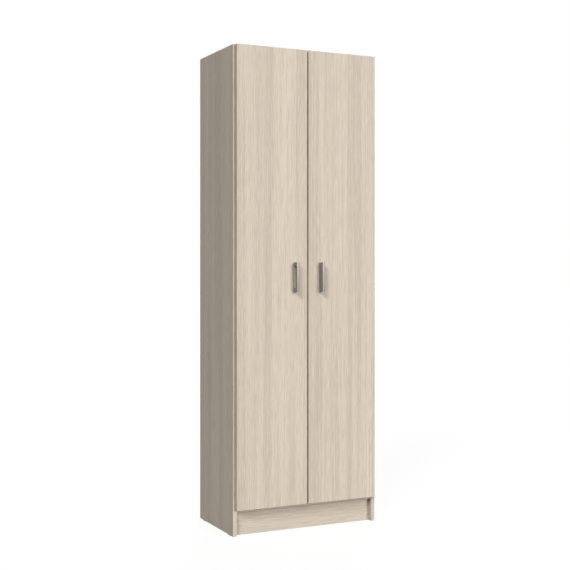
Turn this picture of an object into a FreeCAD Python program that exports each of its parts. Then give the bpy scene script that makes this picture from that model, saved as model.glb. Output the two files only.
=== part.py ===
import FreeCAD, Part
import math
import os

# A tall two-door cupboard of boards, in millimetres
# The origin is on the floor in the middle of the outline. X runs to the right
# as seen from the front, Y to the back and Z up. The doors face -Y.

# Whole cupboard
total_height = 1800.0
total_width = 595.0
side_depth = 330.0
board_thickness = 15.0
arris = 0.6
overrun = 2.0

# Doors
door_thickness = 15.0
door_gap = 2.0
door_side_reveal = 8.0
door_centre_gap = 6.0
door_top_reveal = 1.0
door_bottom_height = 99.0

# Boards between the sides, let into stopped housings
glide_thickness = 3.0
plinth_height = 87.0
plinth_setback = 20.0
fixed_board_setback = 1.0
housing_depth = 5.0
housing_stop = 10.0
loose_shelf_setback = 15.0
loose_shelf_end_clearance = 0.5
loose_shelf_back_clearance = 2.0

# Thin back in two halves, in grooves, with a strip between them
back_thickness = 3.0
groove_depth = 6.0
groove_clearance = 0.15
groove_end_clearance = 0.5
back_inset = 10.0
strip_wall = 1.2
strip_flange_height = 14.0
strip_seat_gap = 0.3

# Angled supports under the loose shelves
support_wall = 2.0
support_width = 12.0
support_reach = 11.0
support_drop = 14.0
support_corner = 3.0
support_from_front = 52.0
support_from_back = 60.0

# Pads under the sides
glide_width = 12.0
glide_length = 24.0
glide_edge = 1.0
glide_from_end = 40.0

# Bracket that ties the top to the wall
bracket_wall = 2.0
bracket_leg = 30.0
bracket_width = 44.0
wall_hole_radius = 3.0
wall_hole_drop = 20.0

# Straight pull handles, open on the side away from the centre gap
handle_length = 110.0
handle_width = 11.0
handle_projection = 27.0
handle_foot_length = 15.0
handle_wall = 2.2
handle_rounding = 1.2
handle_inner_bevel = 3.0
handle_from_centre = 54.0

# Concealed hinges: their heights and the bores in the doors
hinge_from_door_end = 100.0
middle_hinge_above_shelf = 67.5
cup_edge_distance = 4.0
cup_bore_radius = 17.5
cup_bore_depth = 12.0
cup_radius = 17.4
cup_depth = 11.8
cup_floor = 0.6
cup_flange_thickness = 1.0
cup_flange_edge = 18.0
cup_flange_half_height = 19.0
cup_flange_bevel = 9.0
cup_wing_half_height = 28.5
cup_wing_half_width = 6.0
cup_wing_offset = 9.5
cup_wing_bevel = 3.0
cup_pocket_near_edge = 15.1
cup_pocket_relief_edge = 16.2
cup_pocket_relief_half_height = 4.7
cup_pocket_neck_half_height = 7.2
cup_pocket_neck_end = 6.0
cup_pocket_half_height = 9.4
cup_pocket_far_edge = 13.4

# Hinge pivots, from the side panel's outer face and its front edge
arm_carrying_pivot = (37.9, -7.9)
cup_carrying_pivot = (17.4, -9.9)
arm_guide_pivot = (34.0, -3.0)
cup_guide_pivot = (17.4, -4.5)
pivot_radius = 1.25
pivot_clearance = 0.05

# Hinge links
carrying_half_height = 4.0
carrying_eye_radius = 2.4
carrying_bar_half_width = 1.3
carrying_elbow = (26.0, -11.5)
guide_plate_inner = 5.0
guide_plate_thickness = 1.4
guide_stub_inner = 4.6
guide_eye_radius = 2.3
guide_bar_half_width = 1.3
guide_elbow = (22.0, -7.9)
guide_slot_run = 3.1
guide_slot_drop = 0.7
guide_slot_half_width = 2.0
guide_slot_wall = 1.2

# Hinge arm, a channel over the mounting plate
arm_half_height = 8.4
arm_wall = 1.4
arm_foot_top = 25.2
arm_foot_bottom = 17.3
arm_foot_end = 72.0
arm_nose_reach = 2.8
arm_nose_bevel = 1.5
arm_neck_right = 41.2
arm_neck_back = 6.5
arm_crank_start = 20.0
arm_web_start = 3.0

# Mounting plate on the side panel
plate_base_thickness = 2.0
plate_front = 27.0
plate_back = 69.0
plate_half_height = 6.7
plate_rib_clearance = 0.1
plate_wing_half_height = 22.0
plate_wing_front = 30.0
plate_wing_back = 44.0
plate_wing_bevel = 3.0

# Planes and spans that follow from the sizes above
overall_depth = side_depth + door_gap + door_thickness + handle_projection
side_front = handle_projection + door_thickness + door_gap - overall_depth / 2
side_back = side_front + side_depth
door_back = side_front - door_gap
door_front = door_back - door_thickness
side_outer = total_width / 2
side_inner = side_outer - board_thickness
bottom_underside = glide_thickness + plinth_height
bottom_top = bottom_underside + board_thickness
top_underside = total_height - board_thickness
middle_underside = (bottom_top + top_underside - board_thickness) / 2
middle_top = middle_underside + board_thickness
back_rear = side_back - back_inset
back_face = back_rear - back_thickness
strip_height = middle_underside + board_thickness / 2
door_width = side_outer - door_side_reveal - door_centre_gap / 2
door_top = total_height - door_top_reveal
door_height = door_top - door_bottom_height
handle_height = door_bottom_height + door_height / 2
cup_centre = door_side_reveal + cup_edge_distance + cup_bore_radius
hinge_heights = {
    "bottom": door_bottom_height + hinge_from_door_end,
    "middle": middle_top + middle_hinge_above_shelf,
    "top": door_top - hinge_from_door_end,
}
lower_bay = (middle_underside - bottom_top - 2 * board_thickness) / 3
upper_bay = (top_underside - middle_top - 2 * board_thickness) / 3
shelf_undersides = [
    bottom_top + lower_bay,
    bottom_top + 2 * lower_bay + board_thickness,
    middle_top + upper_bay,
    middle_top + 2 * upper_bay + board_thickness,
]


def vector(x, y, z):
    return FreeCAD.Vector(x, y, z)


def box(x_span, y_span, z_span):
    low = vector(min(x_span), min(y_span), min(z_span))
    high = vector(max(x_span), max(y_span), max(z_span))
    size = high - low
    return Part.makeBox(size.x, size.y, size.z, low)


def rod(radius, start, end):
    along = end - start
    return Part.makeCylinder(radius, along.Length, start, along)


def mirrored(shape):
    return shape.mirror(vector(0, 0, 0), vector(1, 0, 0))


def on_side(shape, side):
    """Shapes are drawn for the left half, and mirrored for the right one."""
    return shape if side == "left" else mirrored(shape)


def both_sides(shapes):
    return shapes + [mirrored(shape) for shape in shapes]


def at_height(shape, height):
    return shape.translated(vector(0, 0, height))


# Boards of the case


def eased(board):
    """A board with all its outer edges broken."""
    return board.makeChamfer(arris, board.Edges)


def side_panel():
    """The left side panel, housed for the fixed boards and the plinth, and grooved for the back."""
    panel = eased(box((-side_outer, -side_inner), (side_front, side_back), (glide_thickness, total_height)))
    x_span = (-side_inner - housing_depth, -side_inner + overrun)
    stop = side_front + housing_stop
    rear = side_back + overrun
    bottom_span = (bottom_underside, bottom_top)
    middle_span = (middle_underside, middle_top)
    top_span = (top_underside, total_height + overrun)
    plinth_front = side_front + plinth_setback
    plinth_span = (plinth_front, plinth_front + board_thickness)
    groove_x_span = (-side_inner - groove_depth, -side_inner + overrun)
    return panel.cut([
        box(x_span, (stop, rear), bottom_span),
        box(x_span, (stop, back_face), middle_span),
        box(x_span, (stop, rear), top_span),
        box(x_span, plinth_span, (glide_thickness - overrun, bottom_underside)),
        box(groove_x_span, groove_span(), (bottom_top - groove_depth, top_underside + groove_depth)),
    ])


def groove_span():
    return (back_face - groove_clearance, back_rear + groove_clearance)


def housed_board(underside, rear):
    """A board whose ends enter the sides, behind square notches at its front corners."""
    front = side_front + fixed_board_setback
    z_span = (underside, underside + board_thickness)
    between = box((-side_inner, side_inner), (front, rear), z_span)
    housed_end = side_inner + housing_depth
    housed = box((-housed_end, housed_end), (side_front + housing_stop, rear), z_span)
    return between.fuse(housed).removeSplitter()


def grooved(board, z_span):
    """A board with the groove that takes the end of the thin back."""
    end = side_inner + housing_depth + overrun
    return board.cut(box((-end, end), groove_span(), z_span))


def top_panel():
    board = housed_board(top_underside, side_back)
    return grooved(board, (top_underside - overrun, top_underside + groove_depth))


def bottom_panel():
    board = housed_board(bottom_underside, side_back)
    return grooved(board, (bottom_top - groove_depth, bottom_top + overrun))


def middle_shelf():
    """The fixed shelf, which ends just in front of the strip between the backs."""
    return housed_board(middle_underside, back_face - strip_wall - strip_seat_gap)


def plinth():
    front = side_front + plinth_setback
    end = side_inner + housing_depth
    return box((-end, end), (front, front + board_thickness), (glide_thickness, bottom_underside))


def loose_shelf(underside):
    end = side_inner - loose_shelf_end_clearance
    y_span = (side_front + loose_shelf_setback, back_face - loose_shelf_back_clearance)
    return box((-end, end), y_span, (underside, underside + board_thickness))


def back_half(low, high):
    end = side_inner + groove_depth - groove_end_clearance
    return box((-end, end), (back_face, back_rear), (low, high))


def upper_back_panel():
    """The upper half of the back, with the hole for the wall screw behind the bracket."""
    low = strip_height + strip_wall / 2
    high = top_underside + groove_depth - groove_end_clearance
    hole = rod(wall_hole_radius, vector(0, back_face - overrun, wall_hole_height()),
               vector(0, back_rear + overrun, wall_hole_height()))
    return back_half(low, high).cut(hole)


def lower_back_panel():
    return back_half(bottom_top - groove_depth + groove_end_clearance, strip_height - strip_wall / 2)


def joining_strip():
    """An H-shaped strip that holds the two halves of the back together."""
    x_span = (-side_inner, side_inner)
    z_span = (strip_height - strip_flange_height / 2, strip_height + strip_flange_height / 2)
    web_span = (strip_height - strip_wall / 2, strip_height + strip_wall / 2)
    front = box(x_span, (back_face - strip_wall, back_face), z_span)
    rear = box(x_span, (back_rear, back_rear + strip_wall), z_span)
    web = box(x_span, (back_face, back_rear), web_span)
    return front.fuse([rear, web]).removeSplitter()


# Doors and handles


def door():
    """The left door, bored from its back for the hinge cups."""
    x_low = -side_outer + door_side_reveal
    panel = eased(box((x_low, x_low + door_width), (door_front, door_back), (door_bottom_height, door_top)))
    x = -side_outer + cup_centre
    bores = []
    for height in hinge_heights.values():
        start = vector(x, door_back + overrun, height)
        bores.append(rod(cup_bore_radius, start, vector(x, door_back - cup_bore_depth, height)))
    return panel.cut(bores)


def front_edges(block):
    """The four edges round a block's front face."""
    front = block.BoundBox.YMin
    return [edge for edge in block.Edges if max(vertex.Y for vertex in edge.Vertexes) < front + overrun]


def finger_space():
    """The handle's opening from its side, with a bevel between each foot and the front."""
    reach = handle_length / 2 - handle_foot_length
    behind = door_front + overrun
    inside = door_front - handle_projection + handle_wall
    outline = [
        (behind, -reach), (inside + handle_inner_bevel, -reach), (inside, -reach + handle_inner_bevel),
        (inside, reach - handle_inner_bevel), (inside + handle_inner_bevel, reach), (behind, reach),
    ]
    open_side = -handle_from_centre - handle_width / 2 - overrun
    points = [vector(open_side, y, handle_height + z) for y, z in outline]
    across = handle_width - handle_wall + overrun
    return Part.Face(Part.makePolygon(points + points[:1])).extrude(vector(across, 0, 0))


def handle():
    """The left handle: a straight pull with two feet, a front and one wall, open to the left."""
    x_span = (-handle_from_centre - handle_width / 2, -handle_from_centre + handle_width / 2)
    z_span = (handle_height - handle_length / 2, handle_height + handle_length / 2)
    body = box(x_span, (door_front - handle_projection, door_front), z_span)
    return body.makeFillet(handle_rounding, front_edges(body)).cut(finger_space())


# Concealed hinges, drawn for the left door around a height of zero


def placed(x, y):
    """A place on the left half, from the side's outer face and front edge."""
    return vector(x - side_outer, y + side_front, 0)


def plate(corners, low, high):
    """A flat plate between two heights, with its corners given from the side's edge."""
    points = [placed(x, y) + vector(0, 0, low) for x, y in corners]
    outline = Part.makePolygon(points + points[:1])
    return Part.Face(outline).extrude(vector(0, 0, high - low))


def pivot_rod(pivot, radius, low, high):
    place = placed(pivot[0], pivot[1])
    return rod(radius, place + vector(0, 0, low), place + vector(0, 0, high))


def bar(start, end, half_width, low, high):
    """A straight bar between two points, with bevelled ends that reach past them."""
    first = vector(start[0], start[1], 0)
    last = vector(end[0], end[1], 0)
    along = (last - first).normalize() * half_width
    across = vector(-along.y, along.x, 0)
    bevel = math.tan(math.pi / 8)
    corners = [
        first - along + across * bevel, first - along * bevel + across,
        last + along * bevel + across, last + along + across * bevel,
        last + along - across * bevel, last + along * bevel - across,
        first - along * bevel - across, first - along - across * bevel,
    ]
    return plate([(corner.x, corner.y) for corner in corners], low, high)


def eye(pivot, radius, low, high):
    """An eight-sided eye around a pivot."""
    corners = []
    reach = radius / math.cos(math.pi / 8)
    for step in range(8):
        angle = math.pi / 8 + step * math.pi / 4
        corners.append((pivot[0] + reach * math.cos(angle), pivot[1] + reach * math.sin(angle)))
    return plate(corners, low, high)


def carrying_link():
    """The long link between the arm and the cup, which carries the door."""
    low, high = -carrying_half_height, carrying_half_height
    link = bar(cup_carrying_pivot, carrying_elbow, carrying_bar_half_width, low, high).fuse([
        bar(carrying_elbow, arm_carrying_pivot, carrying_bar_half_width, low, high),
        eye(cup_carrying_pivot, carrying_eye_radius, low, high),
        eye(arm_carrying_pivot, carrying_eye_radius, low, high),
    ]).removeSplitter()
    hole = pivot_radius + pivot_clearance
    return link.cut([
        pivot_rod(cup_carrying_pivot, hole, low - overrun, high + overrun),
        pivot_rod(arm_carrying_pivot, hole, low - overrun, high + overrun),
    ])


def guide_links():
    """A pair of plates beside the carrying link, slotted where they sit on the arm's pin."""
    low = guide_plate_inner
    high = guide_plate_inner + guide_plate_thickness
    near = arm_guide_pivot
    far = (near[0] - guide_slot_run, near[1] - guide_slot_drop)
    link = bar(cup_guide_pivot, guide_elbow, guide_bar_half_width, low, high).fuse([
        bar(guide_elbow, far, guide_bar_half_width, low, high),
        bar(near, far, guide_slot_half_width + guide_slot_wall, low, high),
        eye(cup_guide_pivot, guide_eye_radius, low, high),
    ]).removeSplitter()
    link = link.cut([
        bar(near, far, guide_slot_half_width, low - overrun, high + overrun),
        pivot_rod(cup_guide_pivot, pivot_radius + pivot_clearance, low - overrun, high + overrun),
    ])
    return [link, link.mirror(vector(0, 0, 0), vector(0, 0, 1))]


def flat_on_door(corners, depth, thickness):
    """A flat shape on the door's back, with corners (x from the cup's centre, z)."""
    y = door_back - depth
    points = [vector(x + cup_centre - side_outer, y, z) for x, z in corners]
    return Part.Face(Part.makePolygon(points + points[:1])).extrude(vector(0, thickness, 0))


def both_ways(corners):
    """Corners for the upper half, closed with their mirror images below."""
    return corners + [(x, -z) for x, z in reversed(corners)]


def hinge_cup():
    """A cast cup with a flange, two screw wings, a pocket for the links and its pins."""
    left = cup_wing_offset - cup_wing_half_width
    right = cup_wing_offset + cup_wing_half_width
    flange = flat_on_door(both_ways([
        (-cup_flange_edge, cup_flange_edge - cup_flange_bevel),
        (-cup_flange_edge + cup_flange_bevel, cup_flange_half_height),
        (left, cup_flange_half_height),
        (left, cup_wing_half_height - cup_wing_bevel),
        (left + cup_wing_bevel, cup_wing_half_height),
        (right - cup_wing_bevel, cup_wing_half_height),
        (right, cup_wing_half_height - cup_wing_bevel),
        (right, cup_flange_edge - cup_wing_bevel),
        (cup_flange_edge, cup_flange_bevel),
    ]), 0, cup_flange_thickness)
    x = cup_centre - side_outer
    barrel = rod(cup_radius, vector(x, door_back - cup_depth, 0), vector(x, door_back, 0))
    pocket = flat_on_door(both_ways([
        (-cup_pocket_relief_edge, cup_pocket_relief_half_height),
        (-cup_pocket_near_edge, cup_pocket_relief_half_height),
        (-cup_pocket_near_edge, cup_pocket_neck_half_height),
        (-cup_pocket_neck_end, cup_pocket_neck_half_height),
        (-cup_pocket_neck_end, cup_pocket_half_height),
        (cup_pocket_far_edge, cup_pocket_half_height),
    ]), cup_depth - cup_floor, cup_depth + overrun)
    cup = flange.fuse(barrel).cut(pocket)
    wall = cup_pocket_neck_half_height
    return cup.fuse([
        pivot_rod(cup_carrying_pivot, pivot_radius, -wall, wall),
        pivot_rod(cup_guide_pivot, pivot_radius, guide_stub_inner, wall),
        pivot_rod(cup_guide_pivot, pivot_radius, -wall, -guide_stub_inner),
    ]).removeSplitter()


def hinge_arm():
    """A cranked channel, open towards the mounting plate, with its pins through the nose."""
    nose = arm_carrying_pivot[1] - arm_nose_reach
    left = arm_guide_pivot[0] - arm_nose_reach
    carry_left = arm_carrying_pivot[0] - arm_nose_reach
    crank = arm_neck_back + arm_neck_right - arm_foot_top
    body = plate([
        (carry_left + arm_nose_bevel, nose),
        (arm_neck_right - arm_nose_bevel, nose),
        (arm_neck_right, nose + arm_nose_bevel),
        (arm_neck_right, arm_neck_back),
        (arm_foot_top, crank),
        (arm_foot_top, arm_foot_end),
        (arm_foot_bottom, arm_foot_end),
        (arm_foot_bottom, arm_crank_start),
        (left, arm_neck_back),
        (left, arm_guide_pivot[1] - arm_nose_bevel),
        (left + arm_nose_bevel, arm_guide_pivot[1] - arm_nose_reach),
        (carry_left, nose + arm_nose_bevel),
    ], -arm_half_height, arm_half_height)
    inner = arm_half_height - arm_wall
    web_corner = arm_wall * math.tan(math.pi / 8)
    open_nose = nose - overrun
    open_end = arm_foot_end + overrun
    channel = plate([
        (arm_foot_bottom - overrun, open_nose),
        (arm_neck_right + overrun, open_nose),
        (arm_neck_right + overrun, arm_web_start),
        (arm_neck_right - arm_wall, arm_web_start),
        (arm_neck_right - arm_wall, arm_neck_back - web_corner),
        (arm_foot_top - arm_wall, crank - web_corner),
        (arm_foot_top - arm_wall, open_end),
        (arm_foot_bottom - overrun, open_end),
    ], -inner, inner)
    return body.cut(channel).fuse([
        pivot_rod(arm_carrying_pivot, pivot_radius, -inner, inner),
        pivot_rod(arm_guide_pivot, pivot_radius, -inner, inner),
    ]).removeSplitter()


def mounting_plate():
    """A base with two screw wings and a rib that the arm sits over."""
    rib_top = arm_foot_top - arm_wall - plate_rib_clearance
    body = plate([
        (board_thickness, plate_front), (rib_top, plate_front),
        (rib_top, plate_back), (board_thickness, plate_back),
    ], -plate_half_height, plate_half_height)
    x = placed(board_thickness, 0).x
    points = [vector(x, y + side_front, z) for y, z in both_ways([
        (plate_wing_front, plate_wing_half_height - plate_wing_bevel),
        (plate_wing_front + plate_wing_bevel, plate_wing_half_height),
        (plate_wing_back - plate_wing_bevel, plate_wing_half_height),
        (plate_wing_back, plate_wing_half_height - plate_wing_bevel),
    ])]
    wings = Part.Face(Part.makePolygon(points + points[:1])).extrude(vector(plate_base_thickness, 0, 0))
    return body.fuse(wings).removeSplitter()


# Fittings of the case


def wall_hole_height():
    return top_underside - wall_hole_drop


def wall_bracket():
    """An angle under the top, with a hole for the screw into the wall."""
    x_span = (-bracket_width / 2, bracket_width / 2)
    upright = box(x_span, (back_face - bracket_wall, back_face), (top_underside - bracket_leg, top_underside))
    flat = box(x_span, (back_face - bracket_leg, back_face), (top_underside - bracket_wall, top_underside))
    hole = rod(wall_hole_radius, vector(0, back_face - bracket_wall - overrun, wall_hole_height()),
               vector(0, back_face + overrun, wall_hole_height()))
    return upright.fuse(flat).removeSplitter().cut(hole)


def shelf_support(underside, middle):
    """An angled support on the left side panel, with a bevelled inner corner."""
    x = -side_inner
    y = middle - support_width / 2
    outline = [
        vector(x, y, underside),
        vector(x + support_reach, y, underside),
        vector(x + support_reach, y, underside - support_wall),
        vector(x + support_wall + support_corner, y, underside - support_wall),
        vector(x + support_wall, y, underside - support_wall - support_corner),
        vector(x + support_wall, y, underside - support_drop),
        vector(x, y, underside - support_drop),
    ]
    return Part.Face(Part.makePolygon(outline + outline[:1])).extrude(vector(0, support_width, 0))


def floor_glide(y):
    """A pad under the left side panel, with its lower edges broken."""
    x = -side_outer + board_thickness / 2
    x_span = (x - glide_width / 2, x + glide_width / 2)
    pad = box(x_span, (y - glide_length / 2, y + glide_length / 2), (0, glide_thickness))
    lower_edges = [edge for edge in pad.Edges if edge.BoundBox.ZMax < glide_thickness / 2]
    return pad.makeChamfer(glide_edge, lower_edges)


def all_nodes():
    nodes = {
        "left_side": side_panel(),
        "right_side": mirrored(side_panel()),
        "top_panel": top_panel(),
        "bottom_panel": bottom_panel(),
        "middle_shelf": middle_shelf(),
        "plinth": plinth(),
        "upper_back_panel": upper_back_panel(),
        "lower_back_panel": lower_back_panel(),
        "back_joining_strip": joining_strip(),
        "wall_bracket": wall_bracket(),
    }
    for number, underside in enumerate(shelf_undersides, 1):
        nodes["shelf_" + str(number)] = loose_shelf(underside)
    for side in ("left", "right"):
        nodes[side + "_door"] = on_side(door(), side)
        nodes[side + "_handle"] = on_side(handle(), side)
        for position, height in hinge_heights.items():
            name = side + "_" + position + "_hinge_"
            nodes[name + "cup"] = on_side(at_height(hinge_cup(), height), side)
            nodes[name + "arm"] = on_side(at_height(hinge_arm(), height), side)
            nodes[name + "plate"] = on_side(at_height(mounting_plate(), height), side)
            nodes[name + "carrying_link"] = on_side(at_height(carrying_link(), height), side)
            nodes[name + "guide_links"] = [on_side(at_height(link, height), side) for link in guide_links()]
    supports = []
    for underside in shelf_undersides:
        for middle in (side_front + support_from_front, side_back - support_from_back):
            supports.append(shelf_support(underside, middle))
    nodes["shelf_supports"] = both_sides(supports)
    glides = [floor_glide(side_front + glide_from_end), floor_glide(side_back - glide_from_end)]
    nodes["floor_glides"] = both_sides(glides)
    return nodes


os.makedirs("parts", exist_ok=True)
for node, shapes in all_nodes().items():
    shape = Part.makeCompound(shapes) if isinstance(shapes, list) else shapes
    shape.exportStep(os.path.join("parts", node + ".step"))
    print(node, len(shape.Solids), round(shape.Volume))
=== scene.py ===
import math

import bpy
from mathutils import Matrix, Vector


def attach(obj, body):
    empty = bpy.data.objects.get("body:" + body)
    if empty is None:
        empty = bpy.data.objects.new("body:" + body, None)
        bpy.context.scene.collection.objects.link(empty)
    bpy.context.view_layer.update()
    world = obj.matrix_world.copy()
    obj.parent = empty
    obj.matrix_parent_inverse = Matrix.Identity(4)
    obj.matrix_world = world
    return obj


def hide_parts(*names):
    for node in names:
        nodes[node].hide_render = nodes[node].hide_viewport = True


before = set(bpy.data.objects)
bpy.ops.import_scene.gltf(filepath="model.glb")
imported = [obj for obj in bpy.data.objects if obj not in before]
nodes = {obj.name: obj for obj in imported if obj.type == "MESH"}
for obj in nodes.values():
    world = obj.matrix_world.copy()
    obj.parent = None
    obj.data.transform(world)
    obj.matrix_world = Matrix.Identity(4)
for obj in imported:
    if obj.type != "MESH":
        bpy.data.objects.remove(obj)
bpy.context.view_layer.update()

# Sizes of the cupboard in metres. The doors face -Y.
side_inner = 0.2825
door_front = -0.160
door_back = -0.145
hinge_heights = {"top": 1.699, "middle": 1.020, "bottom": 0.199}
shelf_undersides = [0.3725, 0.655, 1.22, 1.5025]
support_lines = [-0.091, 0.127]
support_wall = 0.002

# Straight pull handles
handle_height = 0.949
handle_from_centre = 0.054
handle_half_length = 0.055
handle_half_width = 0.0055
handle_projection = 0.027
handle_foot = 0.015
handle_wall = 0.0022
handle_corner = 0.003
handle_rounding = 0.0012
handle_edge = 0.0003
edge_angle = 35
handle_smooth_angle = 38
handle_screw_rise = 0.048

# Screw heads: radius, rise above the seat, part below it and crown
pan_head_sizes = (0.0039, 0.0011, 0.0003, 0.0008)
flat_head_sizes = (0.0036, 0.0003, 0.0004, 0.0003)
arm_head_sizes = (0.0031, 0.0009, 0.0003, 0.0005)
handle_head_sizes = (0.0044, 0.0013, 0.0001, 0.0009)
stud_head_sizes = (0.0026, 0.0005, 0.0003, 0.0005)
screw_sides = 24
screw_smooth_angle = 32

# Each step of a crown: its inset as a share of the radius, its rise as a share
# of the crown. The cross is in shares of the radius.
crown_steps = ((0.22, 0.6), (0.25, 0.4))
cross_long_share = 0.52
cross_short_share = 0.13
cross_depth_share = 0.35
cross_taper = 0.6

# Where the screws sit
cup_screw_from_centre = 0.0095
cup_screw_rise = 0.0225
cup_flange_thickness = 0.001
cup_centre = 0.268
plate_screw_line = -0.106
plate_screw_rise = 0.016
plate_wing_face = 0.2805
arm_web_face = 0.2723
arm_screw_lines = (-0.107, -0.083)
support_screw_drop = 0.0095
bracket_screw_spread = 0.014
bracket_screw_line = 0.156
bracket_screw_height = 1.783

# Finishes, linear light
oak_ground = (0.698, 0.610, 0.504, 1)
oak_cream = (0.768, 0.677, 0.566, 1)
oak_brown = (0.538, 0.456, 0.370, 1)
tape_tone = (0.640, 0.572, 0.480, 1)
chip_pale = (0.50, 0.37, 0.22, 1)
chip_dark = (0.20, 0.12, 0.06, 1)
hardboard_brown = (0.30, 0.185, 0.095, 1)
hardboard_dark = (0.17, 0.095, 0.045, 1)
strip_ivory = (0.78, 0.76, 0.70, 1)
glide_tan = (0.50, 0.46, 0.40, 1)
zinc_pale = (0.66, 0.66, 0.65, 1)
zinc_dark = (0.48, 0.49, 0.50, 1)
handle_metal = (0.268, 0.254, 0.237, 1)
handle_shade = (0.242, 0.229, 0.214, 1)
nickel_pale = (0.66, 0.65, 0.63, 1)
nickel_shade = (0.55, 0.54, 0.52, 1)
floor_grey = (0.13, 0.13, 0.13, 1)
white = (1, 1, 1, 1)

# Oak grain: repeats in a metre, across twice and then along the grain
hairline_stretch = (400, 400, 16)
streak_stretch = (250, 250, 2.0)
band_stretch = (22, 22, 0.35)
arch_stretch = (6.5, 6.5, 0.75)
warm_stretch = (55, 55, 0.8)
wide_stretch = (9, 9, 0.45)
pore_stretch = (900, 900, 30)
arches_in_field = 190.0

# Oak grain: where a mark starts and ends in its noise, then its least and
# greatest share of the colour
warm_range = (0.48, 0.70, 0.0, 0.45)
band_range = (0.42, 0.60, 0.0, 0.54)
wide_range = (0.60, 0.38, 0.0, 0.28)
arch_range = (0.44, 0.60, 0.0, 1.0)
cream_range = (0.44, 0.66, 0.0, 0.60)
brown_range = (0.54, 0.34, 0.0, 0.55)
pore_range = (0.63, 0.74, 0.0, 1.0)
hairline_share = 0.62
streak_share = 0.38
arch_strength = 0.26
pore_strength = 0.35
pore_depth = 0.6
oak_roughness = 0.40
line_roughness = 0.14
pore_roughness = 0.10

# Boards: their gloss, edging tape and raw edges
oak_gloss = 0.08
tape_share = 0.45
raw_roughness = 0.4
raw_relief = 3.0
board_relief = 0.00008
board_relief_strength = 0.6
chip_stretch = (420, 900, 420)
chip_dark_share = 0.75

# Thin back
fibre_stretch = (700, 700, 500)
fibre_range = (0.35, 0.70)
press_stretch = (90, 90, 90)
press_share = 0.35
hardboard_gloss = 0.3
hardboard_roughness = 0.3
hardboard_relief = 0.00012

# Plastic and metal
plastic_cloud_stretch = (130, 130, 130)
plastic_cloud_range = (0.35, 0.70)
plastic_shade = 0.86
plastic_uneven_gloss = 0.2
plastic_skin_stretch = (1500, 1500, 1500)
plastic_relief = 0.00005
metal_cloud_stretch = (60, 60, 60)
metal_uneven_gloss = 0.16
metal_relief = 0.00003
crystals_in_metre = 260.0
zinc_roughness = 0.32
zinc_uneven_gloss = 0.2
skin_relief_strength = 0.5

# Floor, background and camera
floor_size = 80
floor_glow = 0.91
background_seen = 0.95
background_light = 0.05
lens_length = 68.19
sensor_width = 36.0
lens_shift = -0.03457
camera_place = (-1.8351, -3.7680, 0.993)
camera_turn = -25.741

# The Mix node's sockets for colours
mix_share = 0
mix_first = 6
mix_second = 7
mix_result = 2


# Shader building


def fill(tree, socket, value):
    """Sets a socket to a plain value, or joins it to another node's output."""
    if isinstance(value, bpy.types.NodeSocket):
        tree.links.new(value, socket)
    else:
        socket.default_value = value


def calculated(tree, operation, *values, clamp=False):
    node = tree.nodes.new("ShaderNodeMath")
    node.operation = operation
    node.use_clamp = clamp
    for socket, value in zip(node.inputs, values):
        fill(tree, socket, value)
    return node.outputs[0]


def vector_calculated(tree, operation, first, second):
    node = tree.nodes.new("ShaderNodeVectorMath")
    node.operation = operation
    fill(tree, node.inputs[0], first)
    fill(tree, node.inputs[1], second)
    return node.outputs["Value"] if operation == "DOT_PRODUCT" else node.outputs["Vector"]


def mixed(tree, share, first, second):
    node = tree.nodes.new("ShaderNodeMix")
    node.data_type = "RGBA"
    fill(tree, node.inputs[mix_share], share)
    fill(tree, node.inputs[mix_first], first)
    fill(tree, node.inputs[mix_second], second)
    return node.outputs[mix_result]


def noise(tree, place, stretch, detail=2.0, roughness=0.5):
    node = tree.nodes.new("ShaderNodeTexNoise")
    node.inputs["Scale"].default_value = 1.0
    node.inputs["Detail"].default_value = detail
    node.inputs["Roughness"].default_value = roughness
    fill(tree, node.inputs["Vector"], vector_calculated(tree, "MULTIPLY", place, stretch))
    return node.outputs["Fac"]


def cells(tree, place, scale):
    """Random values, one for each cell around scattered points."""
    node = tree.nodes.new("ShaderNodeTexVoronoi")
    node.inputs["Scale"].default_value = scale
    fill(tree, node.inputs["Vector"], place)
    parts = tree.nodes.new("ShaderNodeSeparateColor")
    fill(tree, parts.inputs["Color"], node.outputs["Color"])
    return parts.outputs["Red"], parts.outputs["Green"]


def ranged(tree, value, low, high, to_low=0.0, to_high=1.0):
    node = tree.nodes.new("ShaderNodeMapRange")
    node.interpolation_type = "SMOOTHSTEP"
    fill(tree, node.inputs["Value"], value)
    limits = {"From Min": low, "From Max": high, "To Min": to_low, "To Max": to_high}
    for name, number in limits.items():
        node.inputs[name].default_value = number
    return node.outputs["Result"]


def new_group(name, takes, gives):
    group = bpy.data.node_groups.new(name, "ShaderNodeTree")
    for socket_name, kind in takes:
        group.interface.new_socket(name=socket_name, in_out="INPUT", socket_type=kind)
    for socket_name, kind in gives:
        group.interface.new_socket(name=socket_name, in_out="OUTPUT", socket_type=kind)
    start = group.nodes.new("NodeGroupInput")
    end = group.nodes.new("NodeGroupOutput")
    return group, start, end


def use_group(tree, group, **values):
    node = tree.nodes.new("ShaderNodeGroup")
    node.node_tree = group
    for name, value in values.items():
        fill(tree, node.inputs[name], value)
    return node


def new_material(name):
    material = bpy.data.materials.new(name)
    material.use_nodes = True
    tree = material.node_tree
    return material, tree, tree.nodes["Principled BSDF"]


def bumped(tree, shader, height, distance, strength):
    node = tree.nodes.new("ShaderNodeBump")
    node.inputs["Strength"].default_value = strength
    node.inputs["Distance"].default_value = distance
    fill(tree, node.inputs["Height"], height)
    fill(tree, shader.inputs["Normal"], node.outputs["Normal"])


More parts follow.
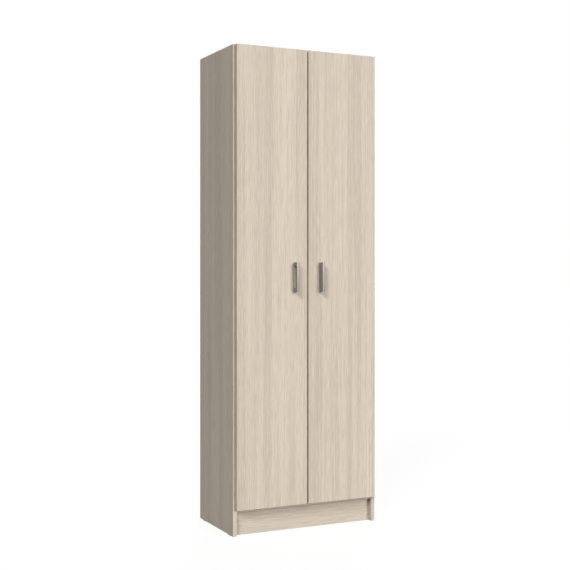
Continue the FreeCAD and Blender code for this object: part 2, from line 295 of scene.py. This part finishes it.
def board_place(tree, turn, shift):
    """The place on a board with its grain along Z, moved so that no two boards match."""
    coordinates = tree.nodes.new("ShaderNodeTexCoord")
    mapping = tree.nodes.new("ShaderNodeMapping")
    mapping.vector_type = "POINT"
    mapping.inputs["Location"].default_value = shift
    mapping.inputs["Rotation"].default_value = turn
    tree.links.new(coordinates.outputs["Object"], mapping.inputs["Vector"])
    return mapping.outputs["Vector"], coordinates.outputs["Normal"]


# Effects that several finishes share

colour_socket = "NodeSocketColor"
value_socket = "NodeSocketFloat"
vector_socket = "NodeSocketVector"


def make_oak_figure():
    """Straight oak grain: hairlines, streaks, wide bands, faint arches and short pores."""
    group, start, end = new_group(
        "oak_figure",
        [("Place", vector_socket), ("Ground", colour_socket), ("Cream", colour_socket),
         ("Brown", colour_socket)],
        [("Color", colour_socket), ("Roughness", value_socket), ("Height", value_socket)],
    )
    place, ground, cream, brown = [start.outputs[name]
                                   for name in ("Place", "Ground", "Cream", "Brown")]
    hairlines = noise(group, place, hairline_stretch, detail=2.0, roughness=0.6)
    streaks = noise(group, place, streak_stretch, detail=1.0)
    bands = noise(group, place, band_stretch, detail=1.0)
    field = noise(group, place, arch_stretch, detail=0.0)
    warm = noise(group, place, warm_stretch, detail=1.0)
    arches = calculated(group, "SINE", calculated(group, "MULTIPLY", field, arches_in_field))
    wide = noise(group, place, wide_stretch, detail=0.0)
    pores = ranged(group, noise(group, place, pore_stretch, detail=1.0), *pore_range)
    lines = calculated(group, "ADD", calculated(group, "MULTIPLY", hairlines, hairline_share),
                       calculated(group, "MULTIPLY", streaks, streak_share))
    arch_zone = calculated(group, "MULTIPLY", ranged(group, wide, *arch_range), arch_strength)
    arch_share = calculated(group, "MULTIPLY",
                            calculated(group, "MULTIPLY_ADD", arches, 0.5, 0.5), arch_zone)
    layers = [
        (ranged(group, warm, *warm_range), cream),
        (ranged(group, bands, *band_range), brown),
        (ranged(group, wide, *wide_range), brown),
        (arch_share, brown),
        (ranged(group, lines, *cream_range), cream),
        (ranged(group, lines, *brown_range), brown),
        (calculated(group, "MULTIPLY", pores, pore_strength), brown),
    ]
    coloured = ground
    for share, tone in layers:
        coloured = mixed(group, share, coloured, tone)
    fill(group, end.inputs["Color"], coloured)
    rough = calculated(group, "MULTIPLY_ADD", lines, line_roughness, oak_roughness)
    rough = calculated(group, "MULTIPLY_ADD", pores, pore_roughness, rough)
    fill(group, end.inputs["Roughness"], rough)
    sunk = calculated(group, "MULTIPLY", pores, pore_depth)
    fill(group, end.inputs["Height"], calculated(group, "SUBTRACT", lines, sunk))
    return group


def make_chipboard():
    """The raw edge of a board: pressed chips, pale and dark."""
    group, start, end = new_group(
        "chipboard",
        [("Place", vector_socket), ("Pale", colour_socket), ("Dark", colour_socket)],
        [("Color", colour_socket), ("Height", value_socket)],
    )
    stretched = vector_calculated(group, "MULTIPLY", start.outputs["Place"], chip_stretch)
    tones, heights = cells(group, stretched, 1.0)
    share = calculated(group, "MULTIPLY", tones, chip_dark_share)
    chips = mixed(group, share, start.outputs["Pale"], start.outputs["Dark"])
    fill(group, end.inputs["Color"], chips)
    fill(group, end.inputs["Height"], heights)
    return group


def make_metal_marks():
    """Fine marks along one direction, with soft cloudy patches."""
    group, start, end = new_group(
        "metal_marks",
        [("Place", vector_socket), ("Pale", colour_socket), ("Shade", colour_socket),
         ("Along", value_socket), ("Across", value_socket)],
        [("Color", colour_socket), ("Marks", value_socket)],
    )
    stretch = group.nodes.new("ShaderNodeCombineXYZ")
    for axis, way in (("X", "Across"), ("Y", "Across"), ("Z", "Along")):
        fill(group, stretch.inputs[axis], start.outputs[way])
    place = start.outputs["Place"]
    marks = noise(group, place, stretch.outputs["Vector"], detail=2.0, roughness=0.6)
    clouds = noise(group, place, metal_cloud_stretch)
    share = calculated(group, "MULTIPLY_ADD", clouds, 0.5,
                       calculated(group, "MULTIPLY", marks, 0.5), clamp=True)
    marked = mixed(group, share, start.outputs["Shade"], start.outputs["Pale"])
    fill(group, end.inputs["Color"], marked)
    fill(group, end.inputs["Marks"], marks)
    return group


oak_figure = make_oak_figure()
chipboard = make_chipboard()
metal_marks = make_metal_marks()


# Finishes


def toned(colour, tone):
    return tuple(channel * tone for channel in colour[:3]) + (1,)


def oak_finish(name, turn, shift, broad, raw, tone=1.0):
    """Oak melamine on a board's two broad faces, edging tape round it and bare chips
    where raw points."""
    material, tree, shader = new_material(name)
    place, normal = board_place(tree, turn, shift)
    figure = use_group(tree, oak_figure, Place=place, Ground=toned(oak_ground, tone),
                       Cream=toned(oak_cream, tone), Brown=toned(oak_brown, tone))
    chips = use_group(tree, chipboard, Place=place, Pale=chip_pale, Dark=chip_dark)
    facing = calculated(tree, "ABSOLUTE", vector_calculated(tree, "DOT_PRODUCT", normal, broad))
    taped = calculated(tree, "MULTIPLY", calculated(tree, "LESS_THAN", facing, 0.5), tape_share)
    coloured = mixed(tree, taped, figure.outputs["Color"], tape_tone)
    bare = calculated(tree, "GREATER_THAN",
                      vector_calculated(tree, "DOT_PRODUCT", normal, raw), 0.5)
    fill(tree, shader.inputs["Base Color"], mixed(tree, bare, coloured, chips.outputs["Color"]))
    rough = calculated(tree, "MULTIPLY_ADD", bare, raw_roughness, figure.outputs["Roughness"])
    fill(tree, shader.inputs["Roughness"], rough)
    shader.inputs["Specular IOR Level"].default_value = oak_gloss
    height = calculated(tree, "MULTIPLY_ADD", chips.outputs["Height"],
                        calculated(tree, "MULTIPLY", bare, raw_relief), figure.outputs["Height"])
    bumped(tree, shader, height, board_relief, board_relief_strength)
    return material


def hardboard_finish(name, shift):
    """Thin back: pale printed oak inside, bare brown hardboard behind."""
    material, tree, shader = new_material(name)
    place, normal = board_place(tree, (0, 0, 0), shift)
    figure = use_group(tree, oak_figure, Place=place, Ground=oak_ground, Cream=oak_cream,
                       Brown=oak_brown)
    fibres = noise(tree, place, fibre_stretch, detail=3.0, roughness=0.65)
    press_marks = noise(tree, place, press_stretch)
    brown = mixed(tree, ranged(tree, fibres, *fibre_range), hardboard_brown, hardboard_dark)
    pressed = calculated(tree, "MULTIPLY", press_marks, press_share)
    brown = mixed(tree, pressed, brown, hardboard_dark)
    behind = calculated(tree, "GREATER_THAN",
                        vector_calculated(tree, "DOT_PRODUCT", normal, (0, 1, 0)), -0.5)
    fill(tree, shader.inputs["Base Color"], mixed(tree, behind, figure.outputs["Color"], brown))
    rough = calculated(tree, "MULTIPLY_ADD", behind, hardboard_roughness,
                       figure.outputs["Roughness"])
    fill(tree, shader.inputs["Roughness"], rough)
    shader.inputs["Specular IOR Level"].default_value = hardboard_gloss
    bumped(tree, shader, fibres, hardboard_relief, skin_relief_strength)
    return material


def plastic_finish(name, tone, rough):
    """Moulded plastic: a faint grained skin and slightly uneven tone."""
    material, tree, shader = new_material(name)
    place = board_place(tree, (0, 0, 0), (0.3, 0.1, 0.2))[0]
    clouds = noise(tree, place, plastic_cloud_stretch)
    cloudy = mixed(tree, ranged(tree, clouds, *plastic_cloud_range), tone,
                   toned(tone, plastic_shade))
    fill(tree, shader.inputs["Base Color"], cloudy)
    rough = calculated(tree, "MULTIPLY_ADD", clouds, plastic_uneven_gloss, rough)
    fill(tree, shader.inputs["Roughness"], rough)
    skin = noise(tree, place, plastic_skin_stretch, detail=1.0)
    bumped(tree, shader, skin, plastic_relief, skin_relief_strength)
    return material


def metal_finish(name, pale, shade, along, across, rough, bare=1.0):
    """Worked metal with fine marks along one direction, bare or under a satin lacquer."""
    material, tree, shader = new_material(name)
    place = board_place(tree, (0, 0, 0), (0.2, 0.4, 0.1))[0]
    worked = use_group(tree, metal_marks, Place=place, Pale=pale, Shade=shade, Along=along,
                       Across=across)
    marks = worked.outputs["Marks"]
    fill(tree, shader.inputs["Base Color"], worked.outputs["Color"])
    rough = calculated(tree, "MULTIPLY_ADD", marks, metal_uneven_gloss, rough)
    fill(tree, shader.inputs["Roughness"], rough)
    shader.inputs["Metallic"].default_value = bare
    bumped(tree, shader, marks, metal_relief, skin_relief_strength)
    return material


def zinc_finish(name):
    """Galvanised sheet with its spangled crystals."""
    material, tree, shader = new_material(name)
    place = board_place(tree, (0, 0, 0), (0.1, 0.3, 0.2))[0]
    tones, gloss = cells(tree, place, crystals_in_metre)
    fill(tree, shader.inputs["Base Color"], mixed(tree, tones, zinc_pale, zinc_dark))
    rough = calculated(tree, "MULTIPLY_ADD", gloss, zinc_uneven_gloss, zinc_roughness)
    fill(tree, shader.inputs["Roughness"], rough)
    shader.inputs["Metallic"].default_value = 1.0
    return material


upright_grain = (0, 0, 0)
level_grain = (0, math.pi / 2, 0)
facing_side = (1, 0, 0)
facing_front = (0, 1, 0)
facing_up = (0, 0, 1)
to_wall = (0, 1, 0)
no_raw_edge = (0, 0, 0)
# The plinth's oak is drawn 5 % darker than the other boards.
plinth_tone = 0.95

# Each board's grain, shift of its figure, broad faces, raw edge and tone
board_finishes = {
    "left_side": (upright_grain, (0.13, 0.41, 0.70), facing_side, to_wall),
    "right_side": (upright_grain, (0.57, 0.83, 2.10), facing_side, to_wall),
    "left_door": (upright_grain, (0.31, 0.20, 0.35), facing_front, no_raw_edge),
    "right_door": (upright_grain, (0.02, 0.55, 3.30), facing_front, no_raw_edge),
    "plinth": (level_grain, (0.44, 0.90, 1.20), facing_front, to_wall, plinth_tone),
    "top_panel": (level_grain, (0.72, 0.15, 4.10), facing_up, to_wall),
    "bottom_panel": (level_grain, (0.26, 0.64, 5.30), facing_up, to_wall),
    "middle_shelf": (level_grain, (0.91, 0.38, 6.70), facing_up, to_wall),
    "shelf_1": (level_grain, (0.36, 0.77, 7.90), facing_up, to_wall),
    "shelf_2": (level_grain, (0.63, 0.08, 9.10), facing_up, to_wall),
    "shelf_3": (level_grain, (0.18, 0.52, 10.30), facing_up, to_wall),
    "shelf_4": (level_grain, (0.80, 0.29, 11.60), facing_up, to_wall),
}
finishes = {}
for node, made_as in board_finishes.items():
    finishes[node] = oak_finish(node + "_oak", *made_as)
finishes["upper_back_panel"] = hardboard_finish("upper_hardboard", (0.5, 0.1, 0.3))
finishes["lower_back_panel"] = hardboard_finish("lower_hardboard", (0.2, 0.6, 1.7))
finishes["back_joining_strip"] = plastic_finish("ivory_plastic", strip_ivory, rough=0.40)
finishes["shelf_supports"] = finishes["back_joining_strip"]
finishes["floor_glides"] = plastic_finish("tan_plastic", glide_tan, rough=0.50)
finishes["wall_bracket"] = zinc_finish("spangled_zinc")
satin_handle = metal_finish("satin_handle", handle_metal, handle_shade,
                            along=60.0, across=1400.0, rough=0.36, bare=0.35)
bright_nickel = metal_finish("bright_nickel", nickel_pale, nickel_shade,
                             along=300.0, across=300.0, rough=0.24)
screw_zinc = metal_finish("screw_zinc", zinc_pale, zinc_dark,
                          along=900.0, across=900.0, rough=0.28)
for side in ("left", "right"):
    finishes[side + "_handle"] = satin_handle
for node, piece in nodes.items():
    finish = finishes.get(node, bright_nickel)
    for place in piece.material_slots:
        place.material = finish


# Shaping


def only(piece):
    """Leaves one piece selected and active."""
    bpy.ops.object.select_all(action="DESELECT")
    piece.select_set(True)
    bpy.context.view_layer.objects.active = piece


def named_new_piece(name):
    """The piece that was just added, with its place and size moved into its mesh."""
    piece = bpy.context.active_object
    piece.name = name
    bpy.ops.object.transform_apply(location=True, rotation=True, scale=True)
    return piece


def box_piece(name, low, high):
    """A box between two corners."""
    bpy.ops.object.select_all(action="DESELECT")
    middle = [(a + b) / 2 for a, b in zip(low, high)]
    size = [b - a for a, b in zip(low, high)]
    bpy.ops.mesh.primitive_cube_add(size=1, location=middle, scale=size)
    return named_new_piece(name)


def round_piece(name, radius, low, high, sides):
    """A cylinder round Z between two heights."""
    bpy.ops.object.select_all(action="DESELECT")
    bpy.ops.mesh.primitive_cylinder_add(
        vertices=sides, radius=radius, depth=high - low, location=(0, 0, (low + high) / 2))
    return named_new_piece(name)


def pick(piece, kind, test):
    """Selects the edges or faces of a piece whose middle passes a test, and starts editing."""
    only(piece)
    bpy.ops.object.mode_set(mode="EDIT")
    bpy.ops.mesh.select_mode(type=kind)
    bpy.ops.mesh.select_all(action="DESELECT")
    bpy.ops.object.mode_set(mode="OBJECT")
    mesh = piece.data
    if kind == "EDGE":
        for edge in mesh.edges:
            start, end = [mesh.vertices[index].co for index in edge.vertices]
            edge.select = test((start + end) / 2)
    else:
        for face in mesh.polygons:
            face.select = test(face.center)
    bpy.ops.object.mode_set(mode="EDIT")


def done_editing():
    bpy.ops.object.mode_set(mode="OBJECT")


def cut_away(piece, tool):
    """Takes a tool's shape out of a piece and removes the tool."""
    only(piece)
    cut = piece.modifiers.new("cut", "BOOLEAN")
    cut.operation = "DIFFERENCE"
    cut.solver = "EXACT"
    cut.object = tool
    bpy.ops.object.modifier_apply(modifier="cut")
    bpy.data.objects.remove(tool)


def soft_edges(piece, width, segments):
    only(piece)
    edge = piece.modifiers.new("edge", "BEVEL")
    edge.width = width
    edge.segments = segments
    edge.limit_method = "ANGLE"
    edge.angle_limit = math.radians(edge_angle)
    bpy.ops.object.modifier_apply(modifier="edge")
    bpy.ops.object.shade_smooth_by_angle(angle=math.radians(handle_smooth_angle))


def dressed(piece, body, finish):
    piece.data.materials.clear()
    piece.data.materials.append(finish)
    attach(piece, body)


def own_copy(model, name, matrix):
    """A copy with its own mesh, moved in the mesh so that its object stays unturned."""
    mesh = model.data.copy()
    mesh.transform(matrix)
    if matrix.determinant() < 0:
        mesh.flip_normals()
    piece = bpy.data.objects.new(name, mesh)
    bpy.context.scene.collection.objects.link(piece)
    return piece


def set_out(model, name, heading, places):
    """Copies of a model at several places, its own Z turned to one heading, joined in one piece."""
    turn = Vector((0, 0, 1)).rotation_difference(Vector(heading)).to_matrix().to_4x4()
    copies = [own_copy(model, name, Matrix.Translation(place) @ turn) for place in places]
    only(copies[0])
    for copy in copies:
        copy.select_set(True)
    bpy.ops.object.join()
    copies[0].name = name
    return copies[0]


# Handles


def pull_handle():
    """The left handle: a straight pull with two feet, a front and one wall, open to the left."""
    left = -handle_from_centre - handle_half_width
    right = -handle_from_centre + handle_half_width
    front = door_front - handle_projection
    low = handle_height - handle_half_length
    high = handle_height + handle_half_length
    body = box_piece("left_pull_handle", (left, front, low), (right, door_front, high))
    pick(body, "EDGE", lambda co: co.y < front + handle_wall / 2)
    bpy.ops.mesh.bevel(offset=handle_rounding, segments=4, affect="EDGES")
    done_editing()
    space = box_piece("space",
                      (left - handle_half_width, front + handle_wall, low + handle_foot),
                      (right - handle_wall, door_front + handle_wall, high - handle_foot))
    reach = handle_half_length - handle_foot
    pick(space, "EDGE", lambda co: co.y < front + handle_wall * 1.5
         and abs(co.z - handle_height) > reach * 0.9)
    bpy.ops.mesh.bevel(offset=handle_corner, segments=5, affect="EDGES")
    done_editing()
    cut_away(body, space)
    soft_edges(body, handle_edge, segments=2)
    return body


left_handle = pull_handle()
right_handle = own_copy(left_handle, "right_pull_handle", Matrix.Scale(-1, 4, (1, 0, 0)))
for side, piece in (("left", left_handle), ("right", right_handle)):
    dressed(piece, side + "_door", satin_handle)
    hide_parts(side + "_handle")


# Screws


def cross_screw(name, radius, rise, sunk, crown):
    """A screw head with a crowned top and a cross recess, rising from z = 0."""
    head = round_piece(name, radius, -sunk, rise, screw_sides)
    pick(head, "FACE", lambda co: co.z > rise - crown / 10)
    for inset_share, rise_share in crown_steps:
        bpy.ops.mesh.inset(thickness=radius * inset_share)
        bpy.ops.transform.translate(value=(0, 0, crown * rise_share))
    done_editing()
    long = radius * cross_long_share
    short = radius * cross_short_share
    deep = rise - radius * cross_depth_share
    for reach_x, reach_y in ((long, short), (short, long)):
        slot = box_piece("slot", (-reach_x, -reach_y, deep), (reach_x, reach_y, rise + crown * 2))
        pick(slot, "FACE", lambda co: co.z < deep + crown / 10)
        bpy.ops.transform.resize(value=(cross_taper, cross_taper, 1),
                                 center_override=(0, 0, deep))
        done_editing()
        cut_away(head, slot)
    only(head)
    bpy.ops.object.shade_smooth_by_angle(angle=math.radians(screw_smooth_angle))
    return head


pan_head = cross_screw("pan_head", *pan_head_sizes)
flat_head = cross_screw("flat_head", *flat_head_sizes)
arm_head = cross_screw("arm_head", *arm_head_sizes)
handle_head = cross_screw("handle_head", *handle_head_sizes)
stud_head = cross_screw("stud_head", *stud_head_sizes)

both_ways = (-1, 1)
to_back = (0, 1, 0)
to_floor = (0, 0, -1)

for side, way in (("left", 1), ("right", -1)):
    door = side + "_door"
    into_cupboard = (way, 0, 0)
    cup_x = -way * (cup_centre - cup_screw_from_centre)
    cup_y = door_back + cup_flange_thickness
    heights = hinge_heights.values()
    cup_places = [(cup_x, cup_y, height + up * cup_screw_rise)
                  for height in heights for up in both_ways]
    plate_places = [(-way * plate_wing_face, plate_screw_line, height + up * plate_screw_rise)
                    for height in heights for up in both_ways]
    arm_places = [(-way * arm_web_face, line, height)
                  for height in heights for line in arm_screw_lines]
    handle_places = [(-way * handle_from_centre, door_back, handle_height + up * handle_screw_rise)
                     for up in both_ways]
    support_places = [(-way * (side_inner - support_wall), line, underside - support_screw_drop)
                      for underside in shelf_undersides for line in support_lines]
    for head, screws, heading, places, body, slot in (
            (flat_head, "cup_screws", to_back, cup_places, door, "hinge_metal"),
            (pan_head, "plate_screws", into_cupboard, plate_places, "carcase", "hinge_metal"),
            (arm_head, "arm_screws", into_cupboard, arm_places, "carcase", "hinge_metal"),
            (handle_head, "handle_screws", to_back, handle_places, door, "satin_metal"),
            (stud_head, "support_screws", into_cupboard, support_places, "carcase",
             "hinge_metal")):
        dressed(set_out(head, side + "_" + screws, heading, places), body, screw_zinc)
bracket_places = [(across * bracket_screw_spread, bracket_screw_line, bracket_screw_height)
                  for across in both_ways]
dressed(set_out(pan_head, "bracket_screws", to_floor, bracket_places), "carcase", screw_zinc)
for model in (pan_head, flat_head, arm_head, handle_head, stud_head):
    bpy.data.objects.remove(model)


# Floor, light and camera


def seen_directly(tree):
    """One for rays that show the background: from the camera, off gloss or through glass."""
    path = tree.nodes.new("ShaderNodeLightPath")
    seen = calculated(tree, "MAXIMUM", path.outputs["Is Camera Ray"],
                      path.outputs["Is Glossy Ray"])
    return calculated(tree, "MAXIMUM", seen, path.outputs["Is Transmission Ray"])


def white_floor():
    """A floor that is white to the camera, keeps shadows and sends up little light."""
    bpy.ops.object.select_all(action="DESELECT")
    bpy.ops.mesh.primitive_plane_add(size=floor_size)
    floor = bpy.context.active_object
    floor.name = "floor"
    material = bpy.data.materials.new("white_floor")
    material.use_nodes = True
    tree = material.node_tree
    tree.nodes.remove(tree.nodes["Principled BSDF"])
    matt = tree.nodes.new("ShaderNodeBsdfDiffuse")
    fill(tree, matt.inputs["Color"], floor_grey)
    glow = tree.nodes.new("ShaderNodeEmission")
    fill(tree, glow.inputs["Strength"],
         calculated(tree, "MULTIPLY", seen_directly(tree), floor_glow))
    both = tree.nodes.new("ShaderNodeAddShader")
    tree.links.new(matt.outputs["BSDF"], both.inputs[0])
    tree.links.new(glow.outputs["Emission"], both.inputs[1])
    tree.links.new(both.outputs["Shader"], tree.nodes["Material Output"].inputs["Surface"])
    floor.data.materials.append(material)


def white_surroundings():
    world = bpy.data.worlds.new("surroundings")
    bpy.context.scene.world = world
    world.use_nodes = True
    tree = world.node_tree
    background = tree.nodes["Background"]
    background.inputs["Color"].default_value = white
    strength = calculated(tree, "MULTIPLY_ADD", seen_directly(tree), background_seen,
                          background_light)
    fill(tree, background.inputs["Strength"], strength)


def sun(name, strength, spread, from_left, above):
    """A distant lamp. Its strength is the share of white that it adds to a surface
    that faces it."""
    lamp = bpy.data.lights.new(name, "SUN")
    lamp.energy = strength * math.pi
    lamp.angle = math.radians(spread)
    piece = bpy.data.objects.new(name, lamp)
    bpy.context.scene.collection.objects.link(piece)
    across = math.radians(from_left)
    up = math.radians(above)
    toward = Vector((-math.sin(across) * math.cos(up), -math.cos(across) * math.cos(up),
                     math.sin(up)))
    piece.rotation_euler = toward.to_track_quat("Z", "Y").to_euler()


def photograph_camera():
    """A level camera at the photograph's place."""
    lens = bpy.data.cameras.new("camera")
    lens.lens = lens_length
    lens.sensor_width = sensor_width
    lens.shift_y = lens_shift
    camera = bpy.data.objects.new("camera", lens)
    bpy.context.scene.collection.objects.link(camera)
    camera.location = camera_place
    camera.rotation_euler = (math.radians(90), 0, math.radians(camera_turn))
    bpy.context.scene.camera = camera


white_floor()
white_surroundings()
sun("window_light", strength=0.57, spread=20, from_left=47, above=35)
sun("room_light", strength=0.66, spread=30, from_left=-18, above=15)
sun("back_light", strength=0.50, spread=20, from_left=-150, above=36)
photograph_camera()
bpy.context.scene.view_settings.view_transform = "Standard"
